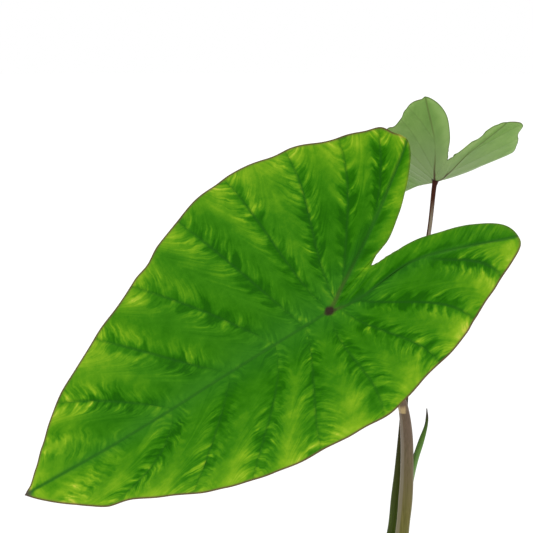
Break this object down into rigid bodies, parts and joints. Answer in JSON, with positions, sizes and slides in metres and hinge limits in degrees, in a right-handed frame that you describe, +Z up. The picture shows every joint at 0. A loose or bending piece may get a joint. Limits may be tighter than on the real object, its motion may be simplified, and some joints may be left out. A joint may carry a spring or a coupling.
{
  "type": "potted colocasia",
  "caption": "Potted aroid house plant: long-stalked heart-shaped veined leaves rise from a corm in soil, in a plain tapered nursery pot that stands on a flat surface.",
  "frame": {"origin": "centre of the pot's underside, on the surface that the pot stands on", "axes": "+Z up, -Y towards the side that the large leaf faces, +X to the right seen from there"},
  "size_m": [0.2775, 0.2647, 0.4799],
  "materials": {
    "pot_plastic": "matte",
    "potting_mix": "matte",
    "corm_skin": "matte",
    "large_petiole": "satin",
    "small_petiole": "satin",
    "large_leaf": "satin",
    "small_leaf": "matte",
    "rolled_leaf": "satin"
  },
  "bodies": {
    "root": {"pot": "pot_plastic", "soil": "potting_mix", "corm": "corm_skin", "petiole_1": "large_petiole", "petiole_2": "small_petiole", "leaf_1_blade": "large_leaf", "leaf_2_blade": "small_leaf", "new_leaf": "rolled_leaf"}
  },
  "joints": []
}
